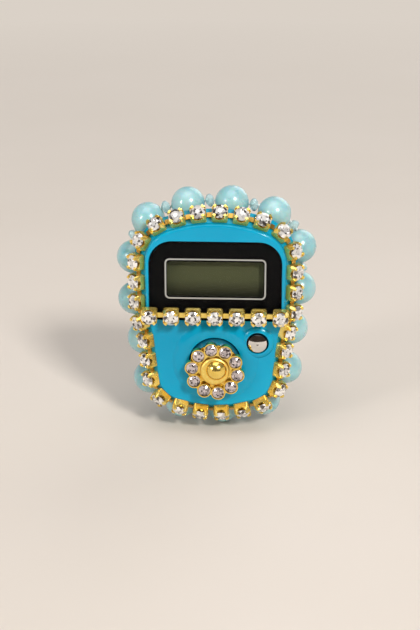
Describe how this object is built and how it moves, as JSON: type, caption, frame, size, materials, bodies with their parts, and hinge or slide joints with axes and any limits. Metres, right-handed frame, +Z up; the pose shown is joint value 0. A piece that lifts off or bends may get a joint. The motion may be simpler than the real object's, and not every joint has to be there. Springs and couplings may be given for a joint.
{
  "type": "digital tasbih counter",
  "caption": "Finger-worn electronic bead counter: shield-shaped case with display, flower count key and reset pin, edged with stone cup chain and a string of pearls.",
  "frame": {"origin": "middle of the width and depth at the underside of the lowest pearl", "axes": "+X to the right of the face, +Z up the face, -Y out of the face towards the reader, +Y to the finger"},
  "size_m": [0.0359, 0.0292, 0.0451],
  "materials": {
    "case_plastic": "polished moulding",
    "key_plastic": "polished moulding",
    "strap_rubber": "soft silicone, satin",
    "lens_clear": "polished clear plate",
    "mask_black": "printed film",
    "lcd_glass": "polished",
    "lcd_reflector": "satin foil",
    "holder_plastic": "as moulded",
    "zebra_rubber": "matt",
    "board_laminate": "solder mask",
    "chip_epoxy": "cast epoxy",
    "capacitor_body": "fired",
    "cell_steel": "nickel plated",
    "contact_metal": "nickel plated",
    "dome_rubber": "silicone, matt",
    "flower_gold": "gold plated casting",
    "flower_glass": "faceted",
    "reset_chrome": "polished plating",
    "chain_gold": "gold plated stamping",
    "chain_glass": "faceted",
    "pearl_lacquer": "pearl lacquer",
    "spacer_glass": "faceted",
    "thread": "clear monofilament",
    "screw_steel": "zinc plated"
  },
  "bodies": {
    "case": {"front_case": "case_plastic", "rear_case": "case_plastic", "case_screws": "screw_steel", "finger_strap": "strap_rubber", "display_lens": "lens_clear", "lens_mask": "mask_black", "lcd_upper_glass": "lcd_glass", "lcd_lower_glass": "lcd_glass", "lcd_reflector": "lcd_reflector", "lcd_holder": "holder_plastic", "zebra_strip": "zebra_rubber", "circuit_board": "board_laminate", "chip_blob": "chip_epoxy", "chip_capacitor": "capacitor_body", "battery_cell": "cell_steel", "battery_spring_contact": "contact_metal", "battery_side_contact": "contact_metal", "count_dome": "dome_rubber", "reset_dome": "dome_rubber", "rim_cups": "chain_gold", "rim_links": "chain_gold", "rim_stones": "chain_glass", "bar_cups": "chain_gold", "bar_links": "chain_gold", "bar_stones": "chain_glass", "pearls": "pearl_lacquer", "spacer_beads": "spacer_glass", "bead_thread": "thread"},
    "count_key": {"count_key": "key_plastic", "flower_setting": "flower_gold", "flower_stones": "flower_glass"},
    "reset_key": {"reset_key": "reset_chrome"},
    "battery_door": {"battery_door": "case_plastic"}
  },
  "joints": [
    {"name": "count_press", "type": "slide", "parent": "case", "child": "count_key", "axis": [0, 1, 0], "range_m": [0, 0.0008], "stiffness_N_per_m": 1200, "deforming": ["count_dome"]},
    {"name": "reset_press", "type": "slide", "parent": "case", "child": "reset_key", "axis": [0, 1, 0], "range_m": [0, 0.0006], "stiffness_N_per_m": 1500, "deforming": ["reset_dome"]},
    {"name": "battery_door_twist", "type": "hinge", "parent": "case", "child": "battery_door", "pos_m": [0, -0.0004, 0.02913], "axis": [0, 1, 0], "range_deg": [0, 60]}
  ]
}
